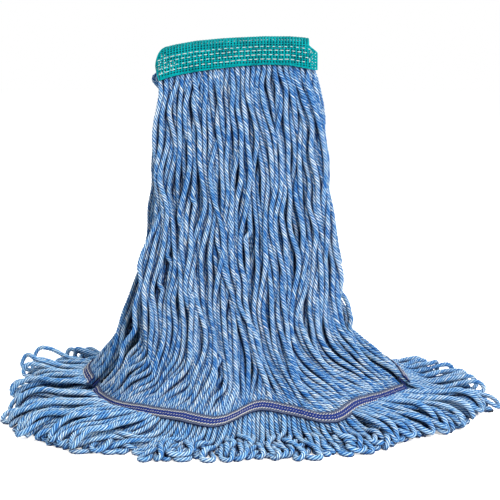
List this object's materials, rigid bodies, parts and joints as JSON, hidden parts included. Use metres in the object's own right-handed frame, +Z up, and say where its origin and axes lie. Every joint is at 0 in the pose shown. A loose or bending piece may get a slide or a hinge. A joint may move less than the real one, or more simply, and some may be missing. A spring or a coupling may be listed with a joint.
{
  "type": "string mop head",
  "caption": "Looped-end string mop head: folded mesh headband over two flaps of plied cord, each held by a woven tailband above a looped fringe.",
  "frame": {"origin": "on the floor, under the middle of the bounding box", "axes": "+Z up; +X along the headband, to the right seen from the front; the front flap falls towards -Y"},
  "size_m": [0.5458, 0.4224, 0.404],
  "materials": {
    "yarn": "matte four-ply cord, blue and white heather",
    "headband_tape": "coated open-mesh tape, low sheen, teal",
    "inner_tape": "coated open-mesh tape, low sheen, darker teal",
    "headband_thread": "twisted white lockstitch thread",
    "tailband_tape": "woven tape, grey edges and a royal blue centre stripe",
    "tailband_thread": "off-white zigzag thread"
  },
  "bodies": {
    "crown": {"headband_fold_outer": "headband_tape", "yarn_fold_core": "yarn", "headband_fold_inner": "inner_tape"},
    "front_band": {"end_hem_left_front": "headband_tape", "end_hem_right_front": "headband_tape", "headband_panel_inner_front": "inner_tape", "headband_panel_outer_front": "headband_tape", "stitch_row_1_front": "headband_thread", "stitch_row_2_front": "headband_thread", "stitch_row_3_front": "headband_thread", "stitch_row_4_front": "headband_thread", "yarn_in_band_front": "yarn"},
    "front_yarn": {"tailband_inner_front": "tailband_tape", "tailband_outer_front": "tailband_tape", "tailband_thread_front": "tailband_thread", "yarn_hank_1_front": "yarn", "yarn_hank_2_front": "yarn", "yarn_hank_3_front": "yarn", "yarn_hank_4_front": "yarn", "yarn_hank_5_front": "yarn", "yarn_hank_6_front": "yarn", "yarn_hank_7_front": "yarn"},
    "front_fringe_left": {"fringe_left_1_front": "yarn", "fringe_left_2_front": "yarn"},
    "front_fringe_middle": {"fringe_middle_1_front": "yarn", "fringe_middle_2_front": "yarn", "fringe_middle_3_front": "yarn"},
    "front_fringe_right": {"fringe_right_1_front": "yarn", "fringe_right_2_front": "yarn"},
    "rear_band": {"end_hem_left_rear": "headband_tape", "end_hem_right_rear": "headband_tape", "headband_panel_inner_rear": "inner_tape", "headband_panel_outer_rear": "headband_tape", "stitch_row_1_rear": "headband_thread", "stitch_row_2_rear": "headband_thread", "stitch_row_3_rear": "headband_thread", "stitch_row_4_rear": "headband_thread", "yarn_in_band_rear": "yarn"},
    "rear_yarn": {"tailband_inner_rear": "tailband_tape", "tailband_outer_rear": "tailband_tape", "tailband_thread_rear": "tailband_thread", "yarn_hank_1_rear": "yarn", "yarn_hank_2_rear": "yarn", "yarn_hank_3_rear": "yarn", "yarn_hank_4_rear": "yarn", "yarn_hank_5_rear": "yarn", "yarn_hank_6_rear": "yarn", "yarn_hank_7_rear": "yarn"},
    "rear_fringe_left": {"fringe_left_1_rear": "yarn", "fringe_left_2_rear": "yarn"},
    "rear_fringe_middle": {"fringe_middle_1_rear": "yarn", "fringe_middle_2_rear": "yarn", "fringe_middle_3_rear": "yarn"},
    "rear_fringe_right": {"fringe_right_1_rear": "yarn", "fringe_right_2_rear": "yarn"}
  },
  "joints": [
    {"name": "front_band_fold", "type": "hinge", "parent": "crown", "child": "front_band", "pos_m": [0.0149, 0.01027, 0.3969], "axis": [-0.9992, 0, -0.04], "range_deg": [0, 80]},
    {"name": "front_flap_swing", "type": "hinge", "parent": "front_band", "child": "front_yarn", "pos_m": [0.0149, 0.01027, 0.374], "axis": [-0.9992, 0, -0.04], "range_deg": [0, 45]},
    {"name": "front_fringe_left_flex", "type": "hinge", "parent": "front_yarn", "child": "front_fringe_left", "pos_m": [-0.14166, -0.11127, 0.0265], "axis": [-0.6951, 0.719, 0], "range_deg": [0, 20]},
    {"name": "front_fringe_middle_flex", "type": "hinge", "parent": "front_yarn", "child": "front_fringe_middle", "pos_m": [0.00384, -0.15759, 0.0265], "axis": [-0.9998, 0.0193, 0], "range_deg": [0, 20]},
    {"name": "front_fringe_right_flex", "type": "hinge", "parent": "front_yarn", "child": "front_fringe_right", "pos_m": [0.13997, -0.1031, 0.0265], "axis": [-0.6192, -0.7852, 0], "range_deg": [0, 20]},
    {"name": "rear_band_fold", "type": "hinge", "parent": "crown", "child": "rear_band", "pos_m": [0.0149, 0.04027, 0.3969], "axis": [0.9992, 0, 0.04], "range_deg": [0, 80]},
    {"name": "rear_flap_swing", "type": "hinge", "parent": "rear_band", "child": "rear_yarn", "pos_m": [0.0149, 0.04027, 0.374], "axis": [0.9992, 0, 0.04], "range_deg": [0, 45]},
    {"name": "rear_fringe_left_flex", "type": "hinge", "parent": "rear_yarn", "child": "rear_fringe_left", "pos_m": [-0.17772, 0.06041, 0.0265], "axis": [0.2906, 0.9568, 0], "range_deg": [0, 20]},
    {"name": "rear_fringe_middle_flex", "type": "hinge", "parent": "rear_yarn", "child": "rear_fringe_middle", "pos_m": [-0.00352, 0.15832, 0.0265], "axis": [1, -0.0066, 0], "range_deg": [0, 20]},
    {"name": "rear_fringe_right_flex", "type": "hinge", "parent": "rear_yarn", "child": "rear_fringe_right", "pos_m": [0.16638, 0.06331, 0.0265], "axis": [0.3466, -0.938, 0], "range_deg": [0, 20]}
  ]
}
